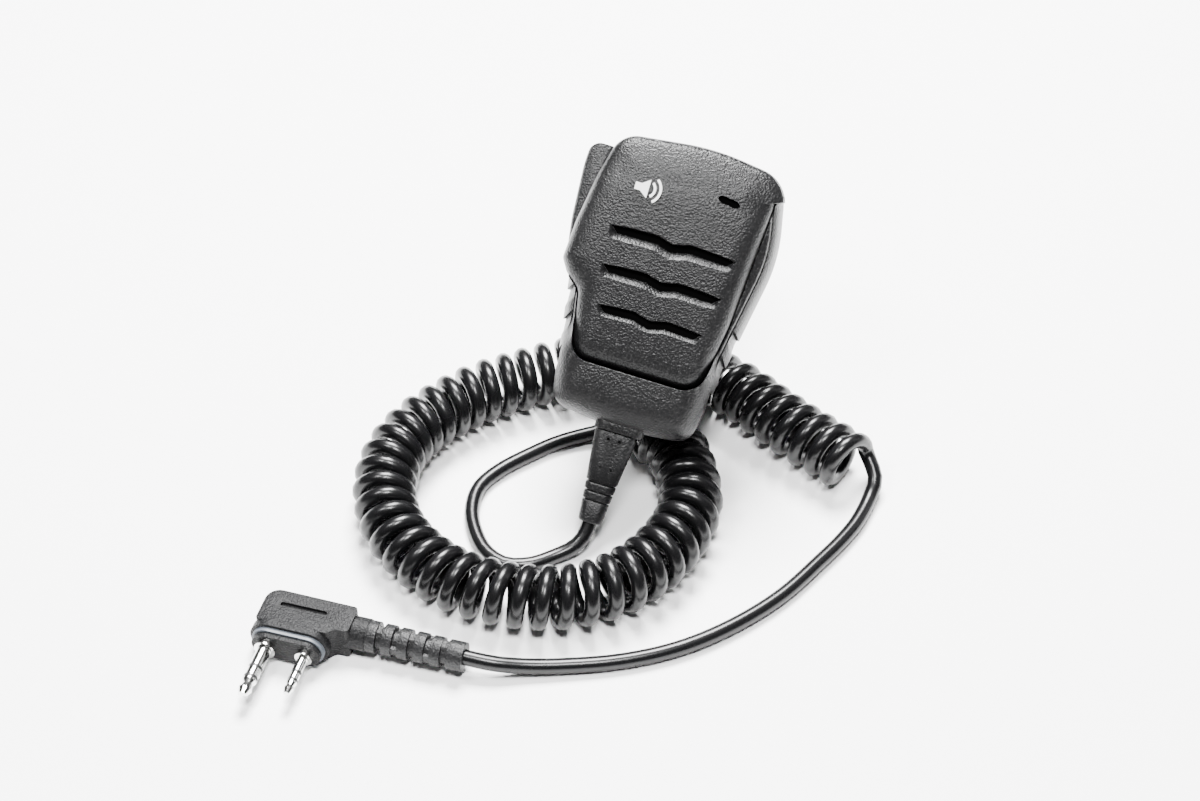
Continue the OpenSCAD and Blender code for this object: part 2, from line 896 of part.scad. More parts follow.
module plug_plate() {
    in_plug() color("#101011") difference() {
        oval(0, 1.3, 3.7);
        pin_holes();
    }
}

module plug_seal() {
    in_plug() color("#7d858f") difference() {
        oval(1.35, 2.45, 4.2);
        oval(1, 3, 3.3);
    }
}

relief_step = 4;
relief_r = 3.85;

module plug_relief() {
    in_plug() color(black) translate([0, plug_cable_y, 0]) rotate([0, 90, 0]) difference() {
        union() {
            translate([0, 0, relief_x[0] + 0.1]) cylinder(h = relief_x[1] - relief_x[0] - 0.1, r = 2.6);
            for (i = [0:5]) {
                translate([0, 0, relief_x[0] + 0.1 + i * relief_step])
                    cylinder(h = 2.5 + (i == 5 ? 1.4 : 0), r = relief_r - i * 0.06);
            }
            for (i = [0:4]) {
                translate([0, 0, relief_x[0] + 2 + i * relief_step]) rotate(90 * (i % 2))
                    translate([-3.3, -1.1, 0]) cube([6.6, 2.2, 2.6]);
            }
        }
        translate([0, 0, relief_x[0] - cut]) cylinder(h = relief_x[1], d = cable_d);
    }
}

// A jack pin, drawn as radius and distance out from the plug's flange
band = 0.45;

module jack_pin(r, sleeve, ring_end, tip_start, end) {
    rotate([90, 0, 0]) rotate_extrude($fn = 48)
        polygon([[0, -2], [r - band, -2], [r - band, sleeve_from], [r, sleeve_from], [r, sleeve],
            [r - band, sleeve], [r - band, sleeve + 0.8], [r, sleeve + 0.8], [r, ring_end],
            [r - band, ring_end], [r - band, tip_start], [r, tip_start], [r, tip_start + 0.4],
            [r * 0.72, tip_start + 1.3], [r * 0.97, end - 1.9], [r * 0.6, end - 0.3], [0, end]]);
}

big_marks = [6.6, 9.6, 10.4, 15.2];
small_marks = [5.2, 7.6, 8.3, 12.2];

module pin_big() {
    in_plug() color(nickel) jack_pin(pin_big_d / 2, big_marks[0], big_marks[1], big_marks[2], big_marks[3]);
}

module pin_small() {
    in_plug() color(nickel) translate([pin_gap, 0, 0])
        jack_pin(pin_small_d / 2, small_marks[0], small_marks[1], small_marks[2], small_marks[3]);
}

module insulator(r, from, to) {
    ring_y([0, 0], -to, -from, r, r - 0.45);
}

module pin_insulators() {
    in_plug() color("#0f0f10") {
        insulator(pin_big_d / 2, big_marks[0], big_marks[0] + 0.8);
        insulator(pin_big_d / 2, big_marks[1], big_marks[2]);
        translate([pin_gap, 0, 0]) {
            insulator(pin_small_d / 2, small_marks[0], small_marks[0] + 0.8);
            insulator(pin_small_d / 2, small_marks[1], small_marks[2]);
        }
    }
}

module pin_collars() {
    in_plug() color(nickel) {
        ring_y([0, 0], -collar_t, 0, 2.6, pin_big_d / 2 - band);
        ring_y([pin_gap, 0], -collar_t, 0, 2.1, pin_small_d / 2 - band);
    }
}

front_shell();
rear_shell();
case_seal();
case_screws();
front_emblem();
speaker_gasket();
speaker_membrane();
speaker_frame();
speaker_cone();
voice_coil();
speaker_yoke();
speaker_magnet();
pole_plate();
mic_capsule();
mic_holder();
mic_membrane();
circuit_board();
board_parts();
board_screws();
inner_wires();
ptt_bracket();
ptt_key();
ptt_pin();
ptt_switch();
ptt_plunger();
ptt_seal();
clip_base();
clip_screw();
clip_washer();
clip_jaw();
clip_pin();
clip_spring();
cable_boot();
cable_tail();
cable_clamp();
lead_handset();
curly_cord();
lead_plug();
plug_body();
plug_relief();
plug_plate();
plug_seal();
pin_big();
pin_small();
pin_insulators();
pin_collars();
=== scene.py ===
import json
import math

import bpy
import numpy as np
from mathutils import Matrix, Vector


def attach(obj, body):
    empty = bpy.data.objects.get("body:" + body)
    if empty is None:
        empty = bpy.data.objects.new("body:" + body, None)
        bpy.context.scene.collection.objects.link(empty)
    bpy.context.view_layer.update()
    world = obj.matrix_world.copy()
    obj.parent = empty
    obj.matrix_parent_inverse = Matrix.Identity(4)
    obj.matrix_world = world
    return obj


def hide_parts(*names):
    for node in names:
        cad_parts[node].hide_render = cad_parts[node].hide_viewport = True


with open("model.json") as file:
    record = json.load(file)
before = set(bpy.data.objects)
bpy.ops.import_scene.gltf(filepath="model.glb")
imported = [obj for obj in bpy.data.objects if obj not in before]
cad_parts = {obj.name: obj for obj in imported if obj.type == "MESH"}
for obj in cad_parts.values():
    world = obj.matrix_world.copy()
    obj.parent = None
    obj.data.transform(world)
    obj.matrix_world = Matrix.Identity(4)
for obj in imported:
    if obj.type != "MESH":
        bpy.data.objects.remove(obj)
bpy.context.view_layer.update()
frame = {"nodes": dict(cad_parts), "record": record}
MM = 0.001

# ---------------------------------------------------------------- placement
# Shapes are drawn in millimetres in the handset's own axes: x across, y to the back, z up.


def turn(axis, degrees):
    return np.array(Matrix.Rotation(math.radians(degrees), 3, axis))


HANDSET_AT = np.array([-19.9, -35.75, -36.8])
HANDSET_TURN = turn("Z", -24.5) @ turn("X", -44.6) @ turn("Z", 15)
PLUG_AT = np.array([-95.9, -73.3, -38.8])
PLUG_TURN = turn("Z", -16)
TABLE = -43.8
LAY = np.array([0.7, 1.6, TABLE])  # the origin of the cord's route, on the table


def in_handset(points):
    """Handset millimetres to metres in the frame."""
    return (np.asarray(points, float) @ HANDSET_TURN.T + HANDSET_AT) * MM


# ---------------------------------------------------------------- camera
ELEVATION = math.radians(45)
DISTANCE = 0.630
AIM = Vector((-0.0173, 0.0136, -0.0438))
cam = bpy.data.objects.new("camera", bpy.data.cameras.new("camera"))
bpy.context.collection.objects.link(cam)
bpy.context.scene.camera = cam
cam.data.lens = 72
cam.data.sensor_width = 36
cam.location = AIM + DISTANCE * Vector((0, -math.cos(ELEVATION), math.sin(ELEVATION)))
cam.rotation_euler = (math.pi / 2 - ELEVATION, 0, 0)
cam.data.clip_start = 0.05
cam.data.clip_end = 20

# ---------------------------------------------------------------- materials
CLOUD_SCALE, CLOUD_DETAIL = 90, 3  # slow changes of colour and roughness
GRAIN_DETAIL = 1.5
ROUGH_SPREAD = 0.1


def material(name, color, rough, metallic=0.0, grain=0.0, grain_size=0.5, spread=0.12,
             specular=0.5):
    """Uneven colour and roughness, with bumps grain mm deep and grain_size mm apart."""
    m = bpy.data.materials.new(name)
    m.use_nodes = True
    nodes, link = m.node_tree.nodes, m.node_tree.links.new

    def noise(scale, detail):
        n = nodes.new("ShaderNodeTexNoise")
        n.inputs["Scale"].default_value = scale
        n.inputs["Detail"].default_value = detail
        link(coord.outputs["Object"], n.inputs["Vector"])
        return n.outputs["Fac"]

    def between(low, high):
        n = nodes.new("ShaderNodeMapRange")
        n.inputs["To Min"].default_value = low
        n.inputs["To Max"].default_value = high
        link(clouds, n.inputs["Value"])
        return n.outputs["Result"]

    surface = nodes["Principled BSDF"].inputs
    surface["Metallic"].default_value = metallic
    surface["Specular IOR Level"].default_value = specular
    coord = nodes.new("ShaderNodeTexCoord")
    clouds = noise(CLOUD_SCALE, CLOUD_DETAIL)
    tint = nodes.new("ShaderNodeVectorMath")
    tint.operation = "SCALE"
    tint.inputs[0].default_value = color
    link(between(1 - spread, 1 + spread), tint.inputs["Scale"])
    link(tint.outputs["Vector"], surface["Base Color"])
    link(between(rough * (1 - ROUGH_SPREAD), rough * (1 + ROUGH_SPREAD)), surface["Roughness"])
    if grain:
        bump = nodes.new("ShaderNodeBump")
        bump.inputs["Strength"].default_value = 1
        bump.inputs["Distance"].default_value = grain * MM
        link(noise(1 / MM / grain_size, GRAIN_DETAIL), bump.inputs["Height"])
        link(bump.outputs["Normal"], surface["Normal"])
    return m


PALETTE = {
    "case_plastic": dict(color=(0.005, 0.005, 0.0053), rough=0.35, grain=0.23,
                         grain_size=0.48, specular=0.26),
    "cord_rubber": dict(color=(0.003, 0.003, 0.0033), rough=0.27, grain=0.01,
                        grain_size=0.8, specular=0.3),
    "plug_plastic": dict(color=(0.006, 0.006, 0.0064), rough=0.46, grain=0.26,
                         grain_size=0.46, specular=0.14),
    "dark_plastic": dict(color=(0.03, 0.03, 0.032), rough=0.5, grain=0.02),
    "cream_plastic": dict(color=(0.6, 0.57, 0.5), rough=0.45, grain=0.01),
    "seal_rubber": dict(color=(0.075, 0.085, 0.10), rough=0.5, grain=0.01),
    "sheet": dict(color=(0.0012, 0.0012, 0.0012), rough=1.0, grain=0.03, grain_size=0.25,
                  specular=0.02),
    "cone_paper": dict(color=(0.03, 0.03, 0.03), rough=0.8, grain=0.04),
    "steel": dict(color=(0.56, 0.57, 0.58), rough=0.32, metallic=1, grain=0.005),
    "magnet": dict(color=(0.12, 0.12, 0.125), rough=0.6, metallic=0.6, grain=0.03),
    "copper": dict(color=(0.75, 0.36, 0.18), rough=0.35, metallic=1, grain=0.03,
                   grain_size=0.15),
    "board": dict(color=(0.02, 0.13, 0.05), rough=0.35, grain=0.01),
    "board_dark": dict(color=(0.03, 0.03, 0.03), rough=0.5, grain=0.01),
    "wire_jacket": dict(color=(0.4, 0.03, 0.025), rough=0.4, grain=0.005),
    "plated": dict(color=(0.80, 0.80, 0.79), rough=0.16, metallic=1, grain=0.002,
                   grain_size=0.3),
    "insulator": dict(color=(0.008, 0.008, 0.008), rough=0.4, grain=0.005),
    "white_ink": dict(color=(0.72, 0.72, 0.71), rough=0.5, grain=0.02, grain_size=0.3),
}
LOOKS = {name: material(name, **look) for name, look in PALETTE.items()}
TEXTURED_RUBBER = material("textured_rubber", (0.006, 0.006, 0.0064), 0.42, grain=0.22,
                           grain_size=0.46, specular=0.26)
SLOT_OF = {s["node"]: s["material_slot"] for s in frame["record"]["subparts"]}
for name, node in frame["nodes"].items():
    node.data.materials.clear()
    node.data.materials.append(LOOKS[SLOT_OF[name]])

# ---------------------------------------------------------------- shapes
ARC_STEPS, EDGE_STEPS = 10, 6  # points of a large outline per corner and per straight edge
SMALL_ARC_STEPS, SMALL_EDGE_STEPS = 8, 3
LEAST_RADIUS = 0.6
SHARP, SHARP_SOFTENED = 32, 35  # edges sharper than this many degrees stay creased


def corner_points(corners, inset, steps=ARC_STEPS, per_edge=EDGE_STEPS):
    """Corners [x, z, radius], anticlockwise, inset and rounded, always with as many points."""
    c = np.array([[x, z] for x, z, r in corners], float)
    n = len(c)
    edge = np.roll(c, -1, 0) - c
    along = edge / np.linalg.norm(edge, axis=1)[:, None]
    inward = np.stack([-along[:, 1], along[:, 0]], 1)
    arcs = []
    for i in range(n):
        a, b = along[i - 1], along[i]
        p, q = c[i] + inward[i - 1] * inset, c[i] + inward[i] * inset
        t = np.linalg.solve(np.stack([a, -b], 1), q - p)[0]
        moved = p + a * t
        cross = a[0] * b[1] - a[1] * b[0]
        r = corners[i][2]
        r = max(r - inset, LEAST_RADIUS) if cross > 0 else r + inset
        bend = math.atan2(cross, a @ b)
        start = moved - a * (r * math.tan(abs(bend) / 2))
        centre = start + math.copysign(1, bend) * r * np.array([-a[1], a[0]])
        v = start - centre
        arc = []
        for k in range(steps + 1):
            w = bend * k / steps
            arc.append(centre + np.array([v[0] * math.cos(w) - v[1] * math.sin(w),
                                          v[0] * math.sin(w) + v[1] * math.cos(w)]))
        arcs.append(arc)
    out = []
    for i in range(n):
        out += arcs[i]
        p, q = arcs[i][-1], arcs[(i + 1) % n][0]
        out += [p + (q - p) * k / per_edge for k in range(1, per_edge)]
    return np.array(out)


RAYS = 720
CENTRE = np.array([0.0, 80.0])  # the shells' loops are drawn along rays from here
ANGLES = np.arange(RAYS) * 2 * math.pi / RAYS
DIRS = np.stack([np.cos(ANGLES), np.sin(ANGLES)], 1)
TINY, EDGE_SLACK = 1e-12, 1e-6


def reach(outline):
    """Distance from the centre to the outline along each ray."""
    p = outline - CENTRE
    q = np.roll(p, -1, 0) - p
    best = np.zeros(RAYS)
    for i, d in enumerate(DIRS):
        den = d[0] * q[:, 1] - d[1] * q[:, 0]
        den = np.where(abs(den) < TINY, TINY, den)
        t = (p[:, 0] * q[:, 1] - p[:, 1] * q[:, 0]) / den
        u = (p[:, 0] * d[1] - p[:, 1] * d[0]) / den
        ok = (u >= -EDGE_SLACK) & (u <= 1 + EDGE_SLACK) & (t > 0)
        best[i] = t[ok].max()
    return best


def from_rays(distance, depth):
    """Points at a distance along each ray and at a depth y."""
    return np.stack([CENTRE[0] + distance * DIRS[:, 0], np.broadcast_to(depth, (RAYS,)),
                     CENTRE[1] + distance * DIRS[:, 1]], 1)


INSET_STEP = 0.25


def inset_table(corners, count):
    """Reach of an outline inset by 0, 1, 2... steps."""
    return np.array([reach(corner_points(corners, INSET_STEP * k)) for k in range(count)])


def inset_reach(table, inset):
    """Reach of an outline inset by a different amount along each ray."""
    most = INSET_STEP * (len(table) - 2) + 0.2
    inset = np.clip(np.broadcast_to(inset, (RAYS,)), 0, most) / INSET_STEP
    k = inset.astype(int)
    w = inset - k
    i = np.arange(RAYS)
    return table[k, i] * (1 - w) + table[k + 1, i] * w


def smooth(t):
    """0 to 1 without a corner at either end."""
    t = np.clip(t, 0, 1)
    return t * t * (3 - 2 * t)


def shade(mesh, sharp):
    for p in mesh.polygons:
        p.use_smooth = True
    mesh.set_sharp_from_angle(angle=math.radians(sharp))


def build(name, vertices, faces, body, look, replaces=()):
    """A mesh with its faces outwards. It rides its body; a cutter has none."""
    p = np.asarray(vertices)
    volume = sum(p[t[0]] @ np.cross(p[t[i]], p[t[i + 1]])
                 for t in faces for i in range(1, len(t) - 1))
    if volume < 0:
        faces = [t[::-1] for t in faces]
    mesh = bpy.data.meshes.new(name)
    mesh.from_pydata([tuple(v) for v in vertices], [], faces)
    mesh.update()
    shade(mesh, SHARP)
    mesh.materials.append(LOOKS[look])
    o = bpy.data.objects.new(name, mesh)
    bpy.context.collection.objects.link(o)
    if body:
        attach(o, body)
    for n in replaces:
        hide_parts(n)
    return o


def rings(loops, closed=False):
    """Vertices and quads through equal loops; open ends get a fan."""
    n = len(loops[0])
    v = np.concatenate(loops)
    faces = []
    last = len(loops) if closed else len(loops) - 1
    for i in range(last):
        a, b = i * n, ((i + 1) % len(loops)) * n
        faces += [(a + k, a + (k + 1) % n, b + (k + 1) % n, b + k) for k in range(n)]
    if not closed:
        ends = []
        for i, flip in ((0, True), (len(loops) - 1, False)):
            ends.append(loops[i].mean(0))
            c = len(v) + len(ends) - 1
            for k in range(n):
                tri = (i * n + k, i * n + (k + 1) % n, c)
                faces.append(tri[::-1] if flip else tri)
        v = np.concatenate([v, ends])
    return v, faces


def bake(obj, sharp):
    """Writes the object's modifiers into its mesh."""
    dg = bpy.context.evaluated_depsgraph_get()
    mesh = bpy.data.meshes.new_from_object(obj.evaluated_get(dg))
    obj.modifiers.clear()
    obj.data = mesh
    shade(mesh, sharp)
    return mesh


def cut_away(obj, *cutters, solver="EXACT"):
    """Takes the cutters out of the object, and removes them."""
    for c in cutters:
        mod = obj.modifiers.new("cut", "BOOLEAN")
        mod.operation, mod.solver, mod.object = "DIFFERENCE", solver, c
    bake(obj, SHARP)
    for c in cutters:
        bpy.data.objects.remove(c)


def prism(name, outline_near, y_near, outline_far, y_far):
    """A cutter between two flat outlines."""
    near = np.insert(np.asarray(outline_near, float), 1, y_near, axis=1)
    far = np.insert(np.asarray(outline_far, float), 1, y_far, axis=1)
    v, f = rings([near, far])
    return build(name, in_handset(v), f, None, "case_plastic")


def solid(name, outlines, y0, y1, body, look, replaces=()):
    """Flat outlines made solid between two depths, as one mesh."""
    verts, faces = [], []
    for o in outlines:
        n, k = len(o), len(verts)
        verts += [(x, y0, z) for x, z in o] + [(x, y1, z) for x, z in o]
        faces += [tuple(range(k, k + n)), tuple(range(k + 2 * n - 1, k + n - 1, -1))]
        faces += [(k + i, k + n + i, k + n + (i + 1) % n, k + (i + 1) % n) for i in range(n)]
    return build(name, in_handset(verts), faces, body, look, replaces)


def box(name, low, high, body=None):
    (x0, y0, z0), (x1, y1, z1) = low, high
    v = [(x, y, z) for x in (x0, x1) for y in (y0, y1) for z in (z0, z1)]
    f = [(0, 1, 3, 2), (4, 6, 7, 5), (0, 4, 5, 1), (2, 3, 7, 6), (0, 2, 6, 4), (1, 5, 7, 3)]
    return build(name, in_handset(v), f, body, "case_plastic")


ALONG_Y, ALONG_Z = 1, 2


def loft(name, axis, slices, body, look, replaces=()):
    """A rounded outline through (level, corners, inset) slices, closed at both ends."""
    loops = [np.insert(corner_points(corners, inset, SMALL_ARC_STEPS, SMALL_EDGE_STEPS),
                       axis, level, axis=1) for level, corners, inset in slices]
    v, f = rings(loops)
    return build(name, in_handset(v), f, body, look, replaces)


# ---------------------------------------------------------------- cord
# Points on the table, from LAY; the third number lifts a lead above it.
ROUTE_A = [(-22, -40, 2.9), (-24.5, -42, 1.2), (-29, -44, 0.2), (-35, -46.5, 0),
           (-41, -46.5, 0), (-46, -42.5, 0), (-49, -35.5, 0), (-50, -28.5, 0),
           (-48.5, -21, 0), (-43.5, -15, 0), (-36, -9.5, 0), (-28.5, -5, 0), (-19, -2, 0.5),
           (-12, -1.5, 2)]
CURL = [(-4, -7.5), (-1, -10.5), (1.5, -14.5), (3, -19.5), (4.5, -30), (3.5, -36),
        (1.5, -41.5), (-5, -51), (-13.5, -58), (-24, -62), (-34.5, -62.5), (-44.5, -60.5),
        (-54.5, -56), (-63, -48.5), (-69, -39), (-71.5, -27.5), (-70, -16.5), (-65, -7),
        (-57.5, 0.5), (-49, 6.5), (-39, 11), (-29, 15), (-18, 17.5), (-5, 17), (8, 13.5),
        (17.5, 7.5), (25.5, -0.5), (33, -8), (40, -14), (45, -18.5)]
ROUTE_B = [(51.3, -20, 2.4), (50, -24, 0.5), (46, -32.5, 0), (41.5, -39, 0),
           (36, -45.5, 0), (25.5, -57, 0), (13, -66.5, 0), (0.5, -73, 0), (-13, -76.8, 0),
           (-27.5, -78.5, 0.3), (-36, -79, 0.9), (-43, -79.2, 2.1)]
LEAD_R, WIRE_R = 1.9, 2.03  # the same cable, drawn thicker where it is wound
HELIX_R, PITCH, HELIX_Z = 6.07, 5.25, 8.25
HELIX_STEP, LEAD_STEP, POINT_GAP = 0.25, 1.2, 1.5
BOOT_EXIT, RELIEF_EXIT = np.array([0, 0, 0.8]), np.array([44, 9.8, 0])
JOIN_SAMPLES, JOIN_LENGTH = 11, 3.5  # where the first lead may meet the helix
CURVE_SAMPLES, LEAST_CHORD = 24, 1e-6


def spline(points, step):
    """Centripetal curve through the points, at even steps."""
    p = np.array(points, float)
    p = np.vstack([2 * p[0] - p[1], p, 2 * p[-1] - p[-2]])
    out = []
    for i in range(1, len(p) - 2):
        t = [0.0]
        for k in range(3):
            chord = np.linalg.norm(p[i + k] - p[i + k - 1])
            t.append(t[-1] + max(chord, LEAST_CHORD) ** 0.5)
        for s in np.linspace(t[1], t[2], CURVE_SAMPLES, endpoint=False):
            row = p[i - 1:i + 3]
            for level in (1, 2):
                row = [(t[k + level] - s) / (t[k + level] - t[k]) * row[k]
                       + (s - t[k]) / (t[k + level] - t[k]) * row[k + 1]
                       for k in range(4 - level)]
            out.append((t[2] - s) / (t[2] - t[1]) * row[0]
                       + (s - t[1]) / (t[2] - t[1]) * row[1])
    out = np.array(out + [p[-2]])
    d = np.concatenate([[0], np.cumsum(np.linalg.norm(np.diff(out, axis=0), axis=1))])
    s = np.linspace(0, d[-1], max(int(round(d[-1] / step)), 2) + 1)
    return np.stack([np.interp(s, d, out[:, k]) for k in range(out.shape[1])], 1), s


def unit(rows):
    return rows / np.linalg.norm(rows, axis=1)[:, None]


def lifted(route):
    return [np.array(p) + [0, 0, LEAD_R] for p in route]


axis_line, along = spline([(x, y, HELIX_Z) for x, y in CURL], HELIX_STEP)
heading = unit(np.gradient(axis_line, along, axis=0))
side = np.stack([heading[:, 1], -heading[:, 0], 0 * along], 1)
turns = math.pi - 2 * math.pi * (along[-1] - along) / PITCH
radius = HELIX_R + (0.09 * np.sin(along / 23.0) + 0.05 * np.sin(along / 7.3 + 1))
helix = (axis_line + radius[:, None] * np.cos(turns)[:, None] * side
         + radius[:, None] * np.sin(turns)[:, None] * np.array([0, 0, 1]))
flow = unit(np.gradient(helix, axis=0))
start = (HANDSET_AT + HANDSET_TURN @ BOOT_EXIT) - LAY
relief = PLUG_AT + PLUG_TURN @ RELIEF_EXIT - LAY
lead_a = [start] + lifted(ROUTE_A)
gap = unit(helix[:JOIN_SAMPLES] - lead_a[-1])
first = int(np.argmax((gap * flow[:JOIN_SAMPLES]).sum(1)))
lead_a, _ = spline(lead_a + [helix[first] - JOIN_LENGTH * flow[first], helix[first]],
                   LEAD_STEP)
lead_b, _ = spline([helix[-1]] + lifted(ROUTE_B) + [relief], LEAD_STEP)
line = np.vstack([lead_a[:-1], helix[first:], lead_b[1:]])
radii = np.concatenate([np.full(len(lead_a) - 1, LEAD_R), np.full(len(helix) - first, WIRE_R),
                        np.full(len(lead_b) - 1, LEAD_R)])
keep = [0]
for i in range(1, len(line)):
    if np.linalg.norm(line[i] - line[keep[-1]]) > POINT_GAP or i == len(line) - 1:
        keep.append(i)
line, radii = (line[keep] + LAY) * MM, radii[keep]
curve = bpy.data.curves.new("cord", "CURVE")
curve.dimensions = "3D"
curve.bevel_depth = LEAD_R * MM
curve.bevel_resolution = 4
curve.resolution_u = 2
curve.use_fill_caps = True
curve.twist_mode = "MINIMUM"
sp = curve.splines.new("POLY")
sp.points.add(len(line) - 1)
sp.points.foreach_set("co", np.hstack([line, np.ones((len(line), 1))]).ravel())
sp.points.foreach_set("radius", radii / LEAD_R)
sp.use_smooth = True
curve.materials.append(LOOKS["cord_rubber"])
cord = bpy.data.objects.new("cord", curve)
bpy.context.collection.objects.link(cord)
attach(cord, "handset")
for n in ("lead_handset", "curly_cord", "lead_plug"):
    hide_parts(n)

# ---------------------------------------------------------------- front shell
# Corners [x, z, radius], anticlockwise seen from the front.
CASE = [[0, 23.8, 60], [17.6, 25.6, 5], [25.7, 75, 40], [21.6, 94.0, 9], [3, 96.3, 60],
        [-20, 93.4, 7], [-25.7, 75, 40], [-17.6, 25.6, 5]]
PANEL = [[16.2, 38.0, 6], [18.9, 56, 40], [21.2, 93.9, 8.6], [3, 96.2, 60],
         [-19.9, 93.3, 6.8], [-22.7, 82, 40], [-24.4, 70, 20], [-25.0, 60.4, 2.5],
         [-23.0, 57.2, 3], [-19.1, 53.9, 4], [-17.0, 43, 10], [-15.7, 38.0, 5]]
# The panel spreads at its upper right corner, near its edge only.
CORNER = [[16.2, 38.0, 6], [18.9, 56, 40], [20.4, 88.0, 1.2], [22.6, 89.4, 0.7],
          [21.3, 93.9, 8.6], [3, 96.2, 60]] + PANEL[4:]
FACE_INSET = 6
FACE_Y, FACE_CROWN = -10.12, 0.3
FACE_PARTS = (0.08, 0.25, 0.45, 0.65, 0.82, 0.93)
ROLL = ((-9.8, 6), (-9.7, 5.2), (-9.56, 4.4), (-9.32, 3.6), (-9.05, 2.8), (-8.65, 2.05),
        (-8.1, 1.4), (-7.3, 0.8), (-6.3, 0.38), (-5.2, 0.12), (-4.2, 0))  # depth, inset
PANEL_INSIDE = ((-4.5, 2.2), (-5.6, 2.9), (-6.8, 4.4), (-7.5, 6.4))  # depth, inset
PANEL_WALL, PANEL_BACK_Y = 1.9, -7.95
BOW, BOW_MIDDLE, BOW_HALF = 1.1, 67, 28

panel_table = inset_table(PANEL, 46)
case_table = inset_table(CASE, 40)
corner = np.maximum(reach(corner_points(CORNER, 0)) - panel_table[0], 0)
corner *= (DIRS[:, 0] > 0) & (DIRS[:, 1] > 0)
panel_edge = panel_table[0] + corner
panel_x, panel_z = panel_edge * DIRS[:, 0], CENTRE[1] + panel_edge * DIRS[:, 1]
wing = np.maximum(smooth((-panel_x - 16) / 3) * smooth((panel_z - 55.0) / 2.5),
                  smooth((panel_z - 88.2) / 1.2))
rim_y = -3.05 + wing * 4.2
roll = 1 + 0.75 * smooth((panel_z - 78) / 12) - 0.4 * smooth((50 - panel_z) / 10)
face = inset_reach(panel_table, FACE_INSET * roll)


def bowed(distance, y):
    """One loop of the panel, whose face is slightly bowed from top to bottom."""
    height = CENTRE[1] + distance * DIRS[:, 1]
    bow = BOW * ((height - BOW_MIDDLE) / BOW_HALF) ** 2 * smooth((-6 - y) / 3)
    return from_rays(distance, y + bow)


loops = [bowed(face * s, FACE_Y + FACE_CROWN * s * s) for s in FACE_PARTS]
for y, inset in ROLL:
    inset = inset * (1 + (roll - 1) * min(inset / 2, 1))
    loops.append(bowed(inset_reach(panel_table, inset) + corner * (1 - smooth(inset / 3.5)), y))
loops.append(from_rays(panel_edge, rim_y))
loops.append(from_rays(inset_reach(panel_table, PANEL_WALL), rim_y))
for y, inset in PANEL_INSIDE:
    loops.append(from_rays(inset_reach(panel_table, inset), y))
loops.append(from_rays(face * 0.5, PANEL_BACK_Y))
v, f = rings(loops)
front = build("front_shell_skin", in_handset(v), f, "handset", "case_plastic", ["front_shell"])

SEAL = ((0.7, 0), (1.1, 0), (1.1, 0.3), (0.7, 0.3))  # inset, height above the rim
v, f = rings([from_rays(panel_edge - inset, rim_y + lift) for inset, lift in SEAL], closed=True)
build("case_seal_skin", in_handset(v), f, "handset", "cord_rubber", ["case_seal"])


def slot_outline(half, z, lip):
    """Upper edge dips at the middle; lower edge is parallel and shorter. lip widens it."""
    upper = [(half, 0), (half - 4, 0.45), (5, 0.72), (3.7, 0.7), (2.2, 0.2)]
    lower = [(half - 0.9, -0.9), (half - 1.6, -1.55), (half - 4.2, -1.5), (5, -1.3),
             (3.7, -1.3), (2.2, -1.8)]
    top = [(-x, dz) for x, dz in upper] + [(0, -0.3)] + upper[::-1]
    low = lower + [(0, -2.3)] + [(-x, dz) for x, dz in lower[::-1]]
    top = [(x * (1 + 0.45 * lip / half), dz + 0.12 * lip) for x, dz in top]
    low = [(x * (1 + 0.5 * lip / half) + math.copysign(0.25 * lip, x) * (abs(x) > half - 3),
            dz - lip) for x, dz in low]
    return [(x, z + dz) for x, dz in (top + low)[::-1]]


SLOTS = ((15.3, 71.2), (14.6, 61.6), (12.8, 52.0))  # half width, height
SLOT_CUTS = (("slot", 0, -14, 0, -6.3), ("lip", 2.7, -10.9, 0.06, -8.8))
cutters = [prism("%s_%d" % (label, i), slot_outline(half, z, lip_near), y_near,
                 slot_outline(half, z, lip_far), y_far)
           for label, lip_near, y_near, lip_far, y_far in SLOT_CUTS
           for i, (half, z) in enumerate(SLOTS)]
HOLE_AT, HOLE_HALF, HOLE_POINTS = (9.9, 84.6), (2.8, 1.15), 28
hole = []
for k in range(HOLE_POINTS):
    w = 2 * math.pi * k / HOLE_POINTS
    x = HOLE_HALF[0] * math.cos(w)
    z = HOLE_HALF[1] * math.sin(w) * (0.7 + 0.3 * min(1, abs(math.cos(w)) * 1.6))
    hole.append((HOLE_AT[0] + x, HOLE_AT[1] + z - 0.12 * x))
cutters.append(prism("mic_hole", hole[::-1], -14, hole[::-1], -6))
cut_away(front, *cutters)

WAVE_AT, WAVE_WIDTH, WAVE_SPREAD, WAVE_POINTS = (-10.1, 82), 0.6, 52, 15


def wave(r):
    """One arc of the loudspeaker sign."""
    spread = np.radians(np.linspace(-WAVE_SPREAD, WAVE_SPREAD, WAVE_POINTS))
    return [(k * math.cos(a) + WAVE_AT[0], k * math.sin(a) + WAVE_AT[1])
            for k, ws in ((r, spread), (r - WAVE_WIDTH, spread[::-1])) for a in ws]


SIGN = [[(-12.9, 81.1), (-11.4, 81.1), (-11.4, 82.9), (-12.9, 82.9)],
        [(-11.4, 81.1), (-9.5, 79.7), (-9.5, 84.3), (-11.4, 82.9)], wave(2.4), wave(3.8)]
solid("front_sign", SIGN, -10.14, -10.0, "handset", "white_ink", ["front_emblem"])

